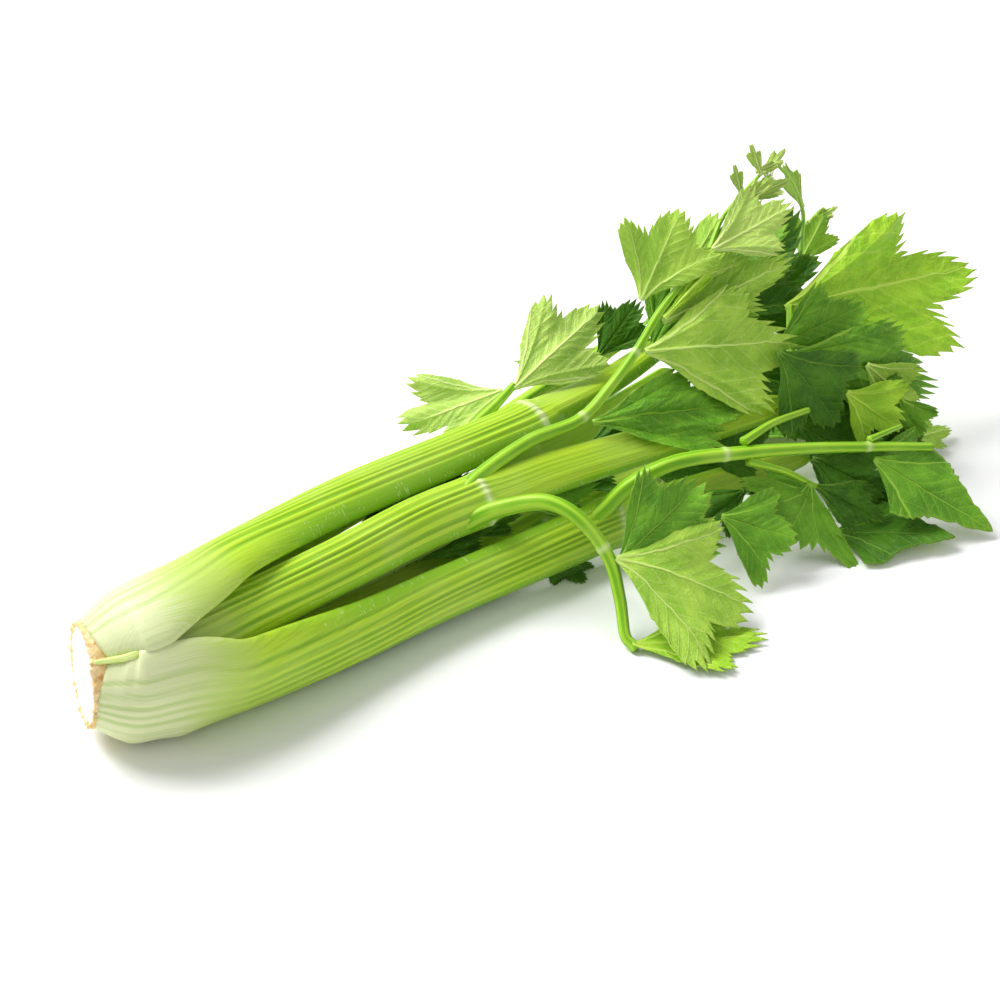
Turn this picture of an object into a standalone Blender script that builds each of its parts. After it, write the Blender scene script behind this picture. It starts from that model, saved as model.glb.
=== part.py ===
"""A head of celery lying on its side, cut at the root, with its leaves on.

Three nested layers of stalks wrap a short root crown: three broad outer stalks, three second ones
in the gaps between them, and three thin heart stalks. A stalk is a crescent in section. It narrows up
to its first joint and runs on as a thinner rib, with side branches and lobed leaflets.
+X runs from the cut root to the leaf tips, +Z is up, and the front of the head is its -Y side.
Lengths are written in millimetres and turned into metres by MM. Angles are in degrees.
"""

import math

import bmesh
import bpy
import numpy as np
from mathutils import Matrix, Vector

MM = 0.001

# The part's origin, the middle of its footprint, seen from the centre of the cut root face.
ORIGIN = Vector((225, -14, 0.4)) * MM

# The head's middle line, from the cut root face on. The root crown points a little to the front.
MIDDLE_LINE = [
    (-3.5, 1, 29.6),
    (13, -4, 28.2),
    (26, -7, 28.7),
    (60, -8, 30.2),
    (110, -5, 30.6),
    (160, -2, 30.6),
    (230, 0, 31),
]

TRIM = 4  # distances along the middle line start this far behind the cut
CROWN_RADIUS = 20.8
CROWN_RIM = 2.6
CROWN_PITH_RADIUS = 14.2
CROWN_DEPTH = 20
CROWN_TOP_RADIUS = 5.5

SIDE_POINTS = 7  # points across the outside of a stalk, and as many across its inside
WRAP_ANGLE = 57  # from the middle of a section's arc to each of its edges
EDGE_SHARE = 0.34  # thickness of a stalk's two edges, as a share of its middle
LEAF_THICKNESS = 0.9
LEAF_STEM_SHARE = 0.05  # the blade starts this far from the leaf's base, as a share of its length
FAN_ANGLE = 55
BASE_FAN_SHARE = 0.65  # how much of the fan's angle is open at the base of the blade
FAN_WIDTH = 1.02  # width of a blade of length 1 with that fan

# The base of each layer of stalks, which is alike for the stalks of a layer, as stations. A station is a
# distance along the middle line, a radius round it, half the width along the arc and a thickness.
OUTER_BASE = (
    (0, 19.8, 19.6, 3.6),
    (6, 22.8, 22.6, 4.6),
    (14, 25, 24.8, 5.2),
    (26, 26.6, 26.2, 5.8),
    (44, 27.2, 21.4, 6.6),
)
SHOULDER = 12  # how far from the cut a base has grown to its full size
SECOND_BASE = ((12, 14.4, 14.4, 3.4), (27, 18.6, 18, 4.6))
HEART_BASE = ((23, 8.4, 6, 2.4), (40, 8.6, 6, 2.8))


def clear_scene():
    for obj in list(bpy.data.objects):
        bpy.data.objects.remove(obj)


def material(name, colour, roughness):
    made = bpy.data.materials.new(name)
    made.use_nodes = True
    shader = made.node_tree.nodes["Principled BSDF"]
    shader.inputs["Base Color"].default_value = (*colour, 1)
    shader.inputs["Roughness"].default_value = roughness
    shader.inputs["Metallic"].default_value = 0
    return made


def smooth_route(rows, steps):
    """The given rows of numbers and steps - 1 rows between each two, along a smooth curve through them."""
    rows = np.array(rows, float)
    ends = np.vstack([2 * rows[0] - rows[1], rows, 2 * rows[-1] - rows[-2]])
    smooth = []
    for before, start, end, after in zip(ends, ends[1:], ends[2:], ends[3:]):
        for t in np.arange(steps) / steps:
            slope = (end - before) * t
            curve = (2 * before - 5 * start + 4 * end - after) * t**2
            twist = (3 * start - before - 3 * end + after) * t**3
            smooth.append((2 * start + slope + curve + twist) / 2)
    return np.array([*smooth, rows[-1]])


def middle_line(distance):
    """The place that far along the head's middle line, and its forward, back and up directions."""
    line = smooth_route(MIDDLE_LINE, 12)
    along = np.cumsum([-TRIM, *np.linalg.norm(np.diff(line, axis=0), axis=1)])
    place, ahead = (Vector([float(np.interp(d, along, c)) for c in line.T]) for d in (distance, distance + 2))
    forward = (ahead - place).normalized()
    back = Vector((0, 0, 1)).cross(forward).normalized()
    return place, forward, back, forward.cross(back)


def around(distance, angle, radius, half_width, thickness, facing=None):
    """A station near the base: its place, the way its outside faces, its half width and thickness.

    The angle, round the middle line, is 0 at the front and 90 on top."""
    place, _, back, up = middle_line(distance)
    turn = math.radians(angle)
    place = place + radius * (up * math.sin(turn) - back * math.cos(turn))
    return (*place, angle if facing is None else facing, half_width, thickness)


def wrapped(base, angle):
    return [around(distance, angle, *rest) for distance, *rest in base]


def outer_base(angle, grown):
    """A base's stations, with its radius and its half width grown out behind the cut."""
    stations = []
    for distance, radius, half_width, thickness in OUTER_BASE:
        out = radius + grown * min(1, (distance + TRIM) / SHOULDER)
        stations.append((distance, out, half_width * out / radius, thickness))
    return wrapped(stations, angle)


def add_object(name, mesh, finish, origin):
    obj = bpy.data.objects.new(name, mesh)
    obj.data.materials.append(finish)
    obj.parent = head
    obj.location = origin
    celery.objects.link(obj)
    return obj


def loft(name, rings, finish, origin):
    """A closed solid through rings of points: the first ring is extruded from each ring to the next."""
    shape = bmesh.new()
    ring = [shape.verts.new(point) for point in rings[0]]
    edges = [shape.edges.new(pair) for pair in zip(ring, ring[1:] + ring[:1])]
    caps = [shape.faces.new(ring)]
    for points in rings[1:]:
        made = bmesh.ops.extrude_edge_only(shape, edges=edges)["geom"]
        copies = [item for item in made if isinstance(item, bmesh.types.BMVert)]
        for vert, point in zip(copies, points):
            vert.co = point
        edges = [item for item in made if isinstance(item, bmesh.types.BMEdge)]
        edges = [edge for edge in edges if set(edge.verts) <= set(copies)]
        ring = copies
    caps.append(shape.faces.new(ring))
    bmesh.ops.recalc_face_normals(shape, faces=shape.faces)
    mesh = bpy.data.meshes.new(name)
    shape.to_mesh(mesh)
    shape.free()
    mesh.shade_smooth()
    mesh.set_sharp_from_angle(angle=math.radians(50))
    return add_object(name, mesh, finish, origin)


def crescent(half_width, thickness):
    """The outline of a stalk's section, as (across, outward) pairs round its middle."""
    wrap = math.radians(WRAP_ANGLE)
    radius = half_width / wrap
    outside, inside = [], []
    for share in np.linspace(-1, 1, SIDE_POINTS):
        turn = share * wrap
        half = thickness / 2 * (EDGE_SHARE + (1 - EDGE_SHARE) * math.sqrt(1 - share**2))
        for side, distance in ((outside, radius + half), (inside, radius - half)):
            side.append((distance * math.sin(turn), distance * math.cos(turn) - radius))
    return outside + inside[::-1]


def stalk(name, stations, finish):
    route = smooth_route(stations, 2)
    places = [Vector(row[:3]) for row in route]
    outlines = []
    for index, (place, (*_, facing, half_width, thickness)) in enumerate(zip(places, route)):
        ahead = places[min(index + 1, len(places) - 1)]
        behind = places[max(index - 1, 0)]
        forward = (ahead - behind).normalized()
        turn = math.radians(facing)
        outward = Vector((0, -math.cos(turn), math.sin(turn)))
        outward = (outward - forward * outward.dot(forward)).normalized()
        across = forward.cross(outward)
        outline = crescent(half_width, thickness)
        outlines.append([(place - places[0] + across * a + outward * o) * MM for a, o in outline])
    return loft(name, outlines, finish, places[0] * MM)


def branch(name, points, start_radius, end_radius, finish):
    """A round side branch that thins from its start to its end."""
    origin = Vector(points[0])
    route = smooth_route(points, 3)
    data = bpy.data.curves.new(name, "CURVE")
    data.dimensions = "3D"
    data.bevel_depth = MM
    data.bevel_resolution = 2
    data.use_fill_caps = True
    line = data.splines.new("POLY")
    line.points.add(len(route) - 1)
    line.use_smooth = True
    for point, row, radius in zip(line.points, route, np.linspace(start_radius, end_radius, len(route))):
        point.co = (*((Vector(row) - origin) * MM), 1)
        point.radius = radius
    return add_object(name, data, finish, origin * MM)


# How far a blade reaches from its base along each line of its fan, from its midrib (0) to its side (1).
FAN_LINES = (0, 0.16, 0.33, 0.45, 0.63, 0.82, 1)
FAN = (1, 0.93, 0.8, 0.77, 0.87, 0.77, 0.42)
KITE = (1, 0.74, 0.6, 0.56, 0.52, 0.46, 0.4)  # the same for a blade with no lobes and a long point
ROWS = (0, 0.4, 0.72, 1)


def blade_point(line, row, length, width, outline):
    """A point of the flat blade: across it and along it, in millimetres."""
    reach = np.interp(abs(line), FAN_LINES, outline)
    distance = LEAF_STEM_SHARE + (reach - LEAF_STEM_SHARE) * row
    turn = math.radians(line * FAN_ANGLE * (BASE_FAN_SHARE + (1 - BASE_FAN_SHARE) * distance))
    return math.sin(turn) * distance * width / FAN_WIDTH, math.cos(turn) * distance * length


def bend(across, along, length, width, fold, cup, arch, sway):
    """The place of a point of the flat blade once it is bent. Z is the blade's facing side.

    Fold lifts both halves from the midrib, cup curls them further towards their edges, and arch and
    sway bow the midrib out of the blade's plane and in it, as shares of its length."""
    share = along / length
    bow = 4 * share * (1 - share) * length
    slope = math.atan(4 * (1 - 2 * share) * arch)
    out = 2 * abs(across) / width
    lift = math.radians(fold + cup * out / 2)
    side = across * math.cos(lift)
    rise = abs(across) * math.sin(lift)
    return Vector((side + sway * bow, along - rise * math.sin(slope), arch * bow + rise * math.cos(slope)))


def leaf(name, base, tip, face, width, finish, fold=0, cup=0, arch=0, sway=0, outline=FAN):
    """A lobed leaflet from its base to its tip. Its width is a share of its length."""
    base, tip = Vector(base), Vector(tip)
    length = (tip - base).length
    wide = width * length
    shape = bmesh.new()
    columns = [-line for line in FAN_LINES[:0:-1]] + list(FAN_LINES)
    bmesh.ops.create_grid(shape, x_segments=len(columns) - 1, y_segments=len(ROWS) - 1, size=0.5)
    for vert in shape.verts:
        column = columns[round((vert.co.x + 0.5) * (len(columns) - 1))]
        row = ROWS[round((vert.co.y + 0.5) * (len(ROWS) - 1))]
        across, along = blade_point(column, row, length, wide, outline)
        vert.co = bend(across, along, length, wide, fold, cup, arch, sway) * MM
    mesh = bpy.data.meshes.new(name)
    shape.to_mesh(mesh)
    shape.free()
    mesh.shade_smooth()
    obj = add_object(name, mesh, finish, base * MM)
    ahead = (tip - base).normalized()
    normal = Vector(face)
    normal = (normal - ahead * normal.dot(ahead)).normalized()
    turned = Matrix((ahead.cross(normal), ahead, normal)).transposed()
    obj.rotation_euler = turned.to_euler()
    thickness = obj.modifiers.new("Thickness", "SOLIDIFY")
    thickness.thickness = LEAF_THICKNESS * MM
    thickness.offset = 0
    return obj


def root_crown(finish):
    """The cut root: a short rim that shows, and the core inside on which the stalks stand."""
    _, forward, _, _ = middle_line(-TRIM)
    profile = [
        (0, CROWN_DEPTH),
        (CROWN_TOP_RADIUS, CROWN_DEPTH),
        (CROWN_PITH_RADIUS, CROWN_RIM + 1),
        (CROWN_PITH_RADIUS, CROWN_RIM),
        (CROWN_RADIUS, CROWN_RIM),
        (CROWN_RADIUS + 0.4, CROWN_RIM / 2),
        (CROWN_RADIUS - 0.6, 0),
        (0, 0),
    ]
    mesh = bpy.data.meshes.new("root_crown")
    points = [(radius * MM, 0, height * MM) for radius, height in profile]
    mesh.from_pydata(points, [(i, i + 1) for i in range(len(points) - 1)], [])
    crown = add_object("root_crown", mesh, finish, Vector(MIDDLE_LINE[0]) * MM)
    crown.rotation_euler = forward.to_track_quat("Z", "Y").to_euler()
    turning = crown.modifiers.new("Turning", "SCREW")
    turning.angle = math.radians(360)
    turning.steps = turning.render_steps = 24
    turning.use_merge_vertices = True
    turning.merge_threshold = 0.01 * MM
    return crown


clear_scene()
celery = bpy.data.collections.new("celery")
bpy.context.scene.collection.children.link(celery)
head = bpy.data.objects.new("head_of_celery", None)
head.location = -ORIGIN
celery.objects.link(head)

root_cream = material("root_cream", (0.86, 0.76, 0.52), 0.6)
stalk_green = material("stalk_green", (0.36, 0.6, 0.09), 0.35)
heart_green = material("heart_green", (0.55, 0.68, 0.2), 0.4)
branch_green = material("branch_green", (0.3, 0.56, 0.06), 0.35)
leaf_green = material("leaf_green", (0.13, 0.36, 0.03), 0.45)
leaf_pale = material("leaf_pale", (0.33, 0.56, 0.11), 0.5)

root_crown(root_cream)

# The three outer stalks, whose bases wrap a third of the head each. Past the base, a station is a place,
# the way the outside faces, half the width and the thickness.
stalk(
    "top_stalk",
    [
        *outer_base(106, 2.6),
        around(66, 116, 30, 19.4, 7, 111),
        around(105, 131, 29.4, 15.4, 8, 98),
        around(150, 137, 28.6, 13.4, 9, 88),
        (228, 22, 47, 84, 12, 9.5),
        (242, 24, 46, 85, 9.5, 8.5),
        (275, 28, 45, 90, 8, 7.5),
        (305, 31, 49, 95, 7, 6.5),
        (336, 30, 60, 100, 5, 5),
    ],
    stalk_green,
)
stalk(
    "front_stalk",
    [
        *outer_base(-13, 1.2)[:-1],
        around(44, -24, 28.6, 26, 6.6, -24),
        around(66, -25, 29.4, 22.2, 7.2, -19),
        around(105, -27.5, 29.4, 15.8, 8.2, -5),
        around(150, -27.5, 29.6, 13, 9, 8),
        (234, -29.5, 17, 20, 11.6, 9.5),
        (248, -30, 16.6, 22, 9.6, 8.5),
        (291, -35, 16, 25, 8.5, 7.5),
        (345, -38, 15, 30, 4, 4),
    ],
    stalk_green,
)
stalk(
    "rear_stalk",
    [
        *outer_base(226, -0.6),
        around(66, 227, 26.8, 17.6, 7, 221),
        around(105, 225, 29, 14, 8, 213),
        around(150, 220, 33, 12, 9, 207),
        (235, 37, 10, 204, 11.5, 9),
        (250, 40, 9.5, 204, 9.5, 8),
        (290, 48, 10, 203, 8, 7),
        (345, 59, 12, 200, 5, 5),
    ],
    stalk_green,
)

# The three second stalks, in the gaps between the outer ones.
stalk(
    "middle_stalk",
    [
        *wrapped(SECOND_BASE, 46),
        around(62, 50, 17.8, 13.6, 5.2, 46),
        around(105, 51, 16.8, 11.8, 7.2, 41),
        around(150, 58, 13.8, 12.2, 8.6, 44),
        (176, -10, 42, 45, 11.8, 9.5),
        (190, -11, 42, 45, 10, 9),
        (218, -13, 42, 46, 9, 8.5),
        (262, -20, 42, 48, 8, 8),
        (305, -26, 41, 50, 6.5, 7),
        (334, -30, 41, 50, 5, 5.5),
    ],
    stalk_green,
)
stalk(
    "back_stalk",
    [
        *wrapped(SECOND_BASE, 166),
        around(62, 164, 18, 11, 5, 164),
        around(105, 163, 23, 8.6, 6, 164),
        around(150, 171, 30.5, 8.4, 7, 168),
        (208, 41, 31, 168, 9, 8),
        (222, 44, 32, 168, 7.5, 7),
        (270, 52, 37, 168, 6.5, 6),
        (325, 60, 42, 168, 4.5, 4.5),
    ],
    stalk_green,
)
stalk(
    "under_stalk",
    [
        *wrapped(SECOND_BASE, 286),
        around(62, 282, 17.4, 13.2, 5, 278),
        around(105, 276, 20, 12, 6.6, 272),
        around(150, 272, 22, 11.5, 7.6, 270),
        (215, 5, 8, 270, 11, 8.5),
        (229, 5, 8, 270, 9, 7.5),
        (280, 6, 8, 270, 8, 7),
        (325, 8, 8.5, 270, 5, 5),
    ],
    stalk_green,
)

# The thin stalks of the heart.
for number, (angle, end_x, end_y, end_z) in enumerate(
    [(-14, 168, -9, 28), (100, 250, 6, 33), (225, 232, 8, 20)], start=1
):
    stalk(
        f"heart_stalk_{number}",
        [
            *wrapped(HEART_BASE, angle),
            around(80, angle, 8, 5.2, 3.4),
            around(118, angle, 8, 4.6, 3.6),
            (end_x - 22, end_y, end_z, angle, 4, 3.4),
            (end_x, end_y, end_z, angle, 2.4, 2.4),
        ],
        heart_green,
    )

# The side branches, each from the joint of a stalk or from another branch.
for name, points, start_radius, end_radius in [
    (
        "rising_branch",
        [
            (184, 1, 52), (210, -2, 54), (236, -4, 56), (254, -2, 64),
            (271, 0, 76), (284, 2, 88), (298, 3, 98), (314, 3, 108),
        ],
        3.4,
        1.2,
    ),
    ("young_twig_1", [(315.5, 5, 109.6), (326, 10, 117), (339, 12, 124), (349, 13, 129)], 1.1, 0.7),
    (
        "drooping_branch",
        [(182, -21, 45), (192, -36, 48.5), (199, -50, 44), (204, -62, 30), (202, -72, 16), (196, -83, 4.4)],
        3.8,
        2.2,
    ),
    (
        "front_branch",
        [
            (232, -27.5, 30.5), (240, -35, 40), (257, -43, 46), (284, -53, 45),
            (312, -64, 42), (340, -74, 37), (366, -83, 31.5),
        ],
        3.8,
        1.8,
    ),
    ("front_twig_up", [(289, -51, 48.8), (308, -47, 48), (330, -43.5, 44)], 1.9, 1.3),
    ("front_twig_down", [(288, -56.4, 40.6), (300, -63, 35), (311, -69, 27)], 1.9, 1.2),
    ("front_end_twig", [(343, -72.6, 39.6), (353, -71, 38), (362, -69, 36)], 1.4, 1),
    ("low_front_twig", [(244, -43.5, 19), (251, -54, 23), (259, -62, 25)], 2, 1.2),
    ("middle_end_branch", [(337, -26, 48), (346, -17, 56), (355, -6, 69)], 2.6, 1.6),
    ("top_end_branch", [(339, 30, 62), (360, 33, 62), (381, 35, 60), (401, 36, 59)], 2.4, 1.4),
    ("young_twig_2", [(400, 34, 63), (394, 28, 80), (386, 21, 98), (374, 17, 117), (363, 15, 129)], 1.2, 0.7),
    ("back_branch", [(213, 37, 43.5), (222, 36.5, 48.5), (232, 38, 53)], 2.6, 1.6),
]:
    branch(name, points, start_radius, end_radius, branch_green)

# The leaflets: base, tip, the way the upper or lower face that shows is turned, and width over length.
VIEWER = (-0.5, -0.65, 0.55)
TILTED = (-0.25, -0.75, 0.6)
leaf(
    "leaf_front_large", (205.8, -64, 29.9), (248.2, -103.5, 10),
    (-0.12, -0.45, 0.88), 1.2, leaf_pale, arch=0.06,
)
leaf(
    "leaf_front_upper", (208.4, -57.5, 36), (257, -52.5, 53),
    (-0.35, -0.75, 0.55), 0.6, leaf_green, arch=0.05,
)
leaf("leaf_low_front", (264, -64, 27), (287.3, -86.6, 18.3), (-0.3, -0.6, 0.75), 1.35, leaf_green, cup=-20)
leaf("leaf_floor_front", (196.7, -86.4, 3.8), (245.2, -115.2, 2.6), (0, 0, 1), 0.56, leaf_green, cup=10)
leaf("leaf_floor_under", (211, -15, 0.8), (212, -38, 0.8), (0, 0, 1), 1, leaf_green)
leaf("leaf_side_left", (310.5, -69.5, 25), (286.4, -79, 13.2), TILTED, 1.7, leaf_green, arch=0.05)
leaf("leaf_side_right", (312.1, -69.7, 26.4), (338.3, -87.9, 6.3), (-0.1, -0.9, 0.4), 0.65, leaf_green)
leaf(
    "leaf_branch_end", (340, -77, 32.5), (373.5, -119.7, 2.6),
    (-0.25, -0.45, 0.85), 0.95, leaf_green, cup=-16, outline=KITE,
)
leaf("leaf_floor_right", (319.8, -76.5, 2.6), (354.1, -115.6, 7), (0, -0.1, 1), 1.0, leaf_green, outline=KITE)
leaf("leaf_twig_end", (358.2, -61.5, 24), (391.6, -64.8, 11), (-0.2, -0.9, 0.4), 0.55, leaf_green)
leaf("leaf_under_twig", (327.2, -30, 66.5), (350, -46, 28), TILTED, 0.7, leaf_green, arch=0.05)
leaf("leaf_low_right", (388, -52, 12), (421, -50, 4), (-0.1, -0.4, 0.9), 0.6, leaf_pale)
leaf("leaf_middle_lower", (338.1, -23.3, 60.6), (412.2, -48.5, 30.4), TILTED, 0.6, leaf_green, arch=0.05)
leaf("leaf_middle_small", (339, -15.4, 61.1), (384.3, -25.8, 72), (-0.4, -0.7, 0.5), 0.52, leaf_green)
leaf("leaf_middle_large", (353.5, -3.6, 69.8), (457.4, -22.9, 65.8), TILTED, 0.66, leaf_green, arch=0.05)
leaf("leaf_high_back", (402.3, 36.3, 60.6), (411.8, 31.3, 85), VIEWER, 0.9, leaf_pale)
leaf("leaf_high_dark", (347.8, 16.5, 56), (384.6, 22.8, 100.2), VIEWER, 0.75, leaf_green)
leaf("leaf_rising_left", (280.7, 9.9, 92.4), (303.2, 11.1, 128.5), VIEWER, 1.1, leaf_pale)
leaf("leaf_rising_right", (272, -3, 76), (340.7, -27.9, 68.8), (-0.25, -0.8, 0.53), 0.8, leaf_pale, arch=0.05)
leaf("leaf_rising_low", (239, -9, 56), (311.3, -29, 49), (-0.2, -0.62, 0.75), 0.55, leaf_green)
leaf("leaf_rising_long", (285.7, 1.5, 83.6), (354.4, -7.4, 95), VIEWER, 0.5, leaf_pale)
leaf("leaf_rising_small", (285.1, -0.3, 86.5), (315.1, -4.7, 110.3), VIEWER, 0.2, leaf_green)
leaf("leaf_rising_end", (314, 2.8, 108.6), (353.1, -5.7, 121.3), VIEWER, 0.8, leaf_pale)
leaf("leaf_young_1", (350, 12.6, 130), (344, 14, 146), VIEWER, 0.4, leaf_pale)
leaf("leaf_young_2", (350.5, 12, 129.4), (366, 14, 137), VIEWER, 0.4, leaf_pale)
leaf("leaf_young_3", (338, 11.6, 124), (335, 14, 139), VIEWER, 0.4, leaf_pale)
leaf("leaf_young_4", (387.5, 23, 99), (378, 27, 122), VIEWER, 0.4, leaf_pale)
leaf("leaf_back_high", (233.2, 37, 53), (288, 41.8, 73.8), (-0.3, -0.6, 0.74), 0.75, leaf_pale)
leaf("leaf_back_dark", (283.7, 40.5, 50), (307.8, 41, 71), VIEWER, 0.9, leaf_green)
leaf("leaf_back_turned", (228.5, 41.5, 54), (184, 56, 47), (-0.2, -0.5, 0.8), 0.5, leaf_pale)
leaf("leaf_heart_1", (168, -9, 28), (200, -13, 30), VIEWER, 0.45, leaf_green)
leaf("leaf_heart_2", (250, 6, 33), (285, 2, 37), VIEWER, 0.6, leaf_green)
leaf("leaf_heart_3", (232, 8, 20), (266, -2, 24), VIEWER, 0.6, leaf_green)
leaf("leaf_rear_end", (345, 58, 14), (410, 66, 16), (0, 0.2, 1), 0.8, leaf_green)
leaf("leaf_back_end", (325, 60, 42), (392, 62, 50), (-0.2, 0.5, 0.8), 0.8, leaf_green)
leaf("leaf_back_side", (270, 60, 37), (300, 92, 32), (-0.2, 0.3, 0.9), 0.9, leaf_green)
leaf("leaf_under_end", (325, 8, 8.5), (388, 2, 9), (0, -0.1, 1), 0.7, leaf_green)
leaf("leaf_front_end", (345, -38, 15), (400, -42, 12), (0, -0.3, 1), 0.7, leaf_green)
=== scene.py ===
import math

import bmesh
import bpy
import numpy as np
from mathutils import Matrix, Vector, noise


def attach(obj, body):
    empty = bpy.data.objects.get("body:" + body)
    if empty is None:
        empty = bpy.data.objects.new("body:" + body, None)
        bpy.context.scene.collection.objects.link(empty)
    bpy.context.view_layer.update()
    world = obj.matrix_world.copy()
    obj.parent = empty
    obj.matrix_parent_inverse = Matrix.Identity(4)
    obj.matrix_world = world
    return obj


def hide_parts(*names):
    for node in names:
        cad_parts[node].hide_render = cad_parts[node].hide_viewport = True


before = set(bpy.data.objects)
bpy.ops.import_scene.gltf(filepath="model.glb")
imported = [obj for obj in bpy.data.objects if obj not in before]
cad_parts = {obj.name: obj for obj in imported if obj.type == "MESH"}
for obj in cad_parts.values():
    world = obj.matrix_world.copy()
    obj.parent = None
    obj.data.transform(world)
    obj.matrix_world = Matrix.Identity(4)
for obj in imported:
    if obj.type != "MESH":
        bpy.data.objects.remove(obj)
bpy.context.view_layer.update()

# ---------------------------------------------------------------------------------------------------
# The root: the short solid stem in the middle of the head, cut flat across. Its pith is smooth and
# cream, and the cut skin round it has dried to a tan, lumpy ring. The stalks grow out of its side.
# ---------------------------------------------------------------------------------------------------
MM = 0.001
ORIGIN = np.array((225, -14, 0.4))  # the middle of the head's footprint, from the middle of the cut
MIDDLE_LINE = [
    (-3.5, 1, 29.6),
    (13, -4, 28.2),
    (26, -7, 28.7),
    (60, -8, 30.2),
    (110, -5, 30.6),
    (160, -2, 30.6),
    (230, 0, 31),
]
TRIM = 4  # distances along the middle line start this far behind the cut
ROOT_RADIUS = 20.8
ROOT_DEPTH = 9
RING_START = 17  # where the pith ends and the tan ring begins
RING_LUMP = 1.1
PITH_LUMP = 0.25
ROOT_STEPS = 220
GRAIN_ROUGHNESS = 0.55
PITH_RINGS = 40
WELD = 1e-7


def add_node(tree, kind, inputs=(), **settings):
    """A node of a material. inputs gives a numbered or named input its value or another node's output."""
    node = tree.nodes.new(kind)
    for name, value in settings.items():
        setattr(node, name, value)
    for place, value in dict(inputs).items():
        if isinstance(value, bpy.types.NodeSocket):
            tree.links.new(value, node.inputs[place])
        else:
            node.inputs[place].default_value = value
    return node


def sum_of(tree, operation, *values):
    return add_node(tree, "ShaderNodeMath", enumerate(values), operation=operation).outputs[0]


def eased(tree, value, low, high, to_low=0.0, to_high=1.0):
    """value's place between low and high, eased at both ends, as a number from to_low to to_high."""
    inputs = enumerate((value, low, high, to_low, to_high))
    return add_node(tree, "ShaderNodeMapRange", inputs, interpolation_type="SMOOTHSTEP").outputs[0]


def blended(tree, share, first, second):
    """The first colour, and the second as much as share says."""
    first, second = ((*c, 1) if isinstance(c, tuple) else c for c in (first, second))
    inputs = {0: share, 6: first, 7: second}
    return add_node(tree, "ShaderNodeMix", inputs, data_type="RGBA").outputs[2]


def grain(tree, place, scale, detail=3.0, stretch=(1, 1, 1)):
    """Soft noise over place, finer as scale grows, with each axis stretched by its own share."""
    place = add_node(tree, "ShaderNodeMapping", {0: place, 3: stretch}).outputs[0]
    inputs = {"Vector": place, "Scale": scale, "Detail": detail, "Roughness": GRAIN_ROUGHNESS}
    return add_node(tree, "ShaderNodeTexNoise", inputs).outputs[0]


def attribute(tree, name, output="Fac"):
    return add_node(tree, "ShaderNodeAttribute", attribute_name=name).outputs[output]


def own_place(tree):
    return add_node(tree, "ShaderNodeTexCoord").outputs["Object"]


def relief(tree, height, depth, strength=1.0):
    """The normal of a surface that rises by depth, in metres, where height is 1."""
    inputs = {"Height": height, "Distance": depth, "Strength": strength}
    return add_node(tree, "ShaderNodeBump", inputs).outputs[0]


def finish(name, paint, **sockets):
    """A material. paint(tree) gives its base colour, roughness and normal, and sockets its fixed values."""
    made = bpy.data.materials.new(name)
    made.use_nodes = True
    tree = made.node_tree
    shader = tree.nodes["Principled BSDF"]
    for place, value in {**sockets, **paint(tree)}.items():
        place = place.replace("_", " ")
        if isinstance(value, bpy.types.NodeSocket):
            tree.links.new(value, shader.inputs[place])
        else:
            shader.inputs[place].default_value = value
    return made


def smooth_route(rows, steps):
    """The given rows of numbers and steps - 1 rows between each two, along a smooth curve through them."""
    rows = np.array(rows, float)
    ends = np.vstack([2 * rows[0] - rows[1], rows, 2 * rows[-1] - rows[-2]])
    smooth = []
    for before, start, end, after in zip(ends, ends[1:], ends[2:], ends[3:]):
        for t in np.arange(steps) / steps:
            slope = (end - before) * t
            curve = (2 * before - 5 * start + 4 * end - after) * t**2
            twist = (3 * start - before - 3 * end + after) * t**3
            smooth.append((2 * start + slope + curve + twist) / 2)
    return np.array([*smooth, rows[-1]])


def middle_line(distance):
    """The place on the head's middle line at that distance, and its forward, back and up directions."""
    line = smooth_route(MIDDLE_LINE, 12)
    along = np.cumsum([-TRIM, *np.linalg.norm(np.diff(line, axis=0), axis=1)])
    place, ahead = (
        Vector([float(np.interp(d, along, c)) for c in line.T]) for d in (distance, distance + 2)
    )
    forward = (ahead - place).normalized()
    back = Vector((0, 0, 1)).cross(forward).normalized()
    return place, forward, back, forward.cross(back)


def placed(name, mesh, materials, node):
    """The object of a finished mesh, which rides on the head and stands for its plain solid, if any."""
    obj = bpy.data.objects.new(name, mesh)
    bpy.context.scene.collection.objects.link(obj)
    for material in materials:
        mesh.materials.append(material)
    mesh.shade_smooth()
    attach(obj, "root")
    if node:
        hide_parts(node)
    return obj


def paint_root(tree):
    place = own_place(tree)
    ring = attribute(tree, "ring")
    mottled = grain(tree, place, 420, 4)
    patchy = grain(tree, place, 130, 3)
    pith = blended(tree, eased(tree, mottled, 0.35, 0.7), (0.93, 0.87, 0.68), (0.97, 0.95, 0.86))
    tan = blended(tree, eased(tree, patchy, 0.35, 0.65), (0.76, 0.52, 0.2), (0.9, 0.76, 0.42))
    tan = blended(tree, eased(tree, mottled, 0.55, 0.72), tan, (0.55, 0.27, 0.07))
    edge = sum_of(tree, "ADD", ring, sum_of(tree, "MULTIPLY_ADD", patchy, 0.5, -0.25))
    height = sum_of(tree, "ADD", sum_of(tree, "MULTIPLY", mottled, 0.6), grain(tree, place, 1400, 2))
    return {
        "Base_Color": blended(tree, eased(tree, edge, 0.35, 0.7), pith, tan),
        "Roughness": eased(tree, mottled, 0.3, 0.7, 0.45, 0.7),
        "Normal": relief(tree, height, 0.0005, 0.6),
    }


root_cut = finish("root_cut", paint_root, Subsurface_Weight=0.15, Subsurface_Scale=0.003)

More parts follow.
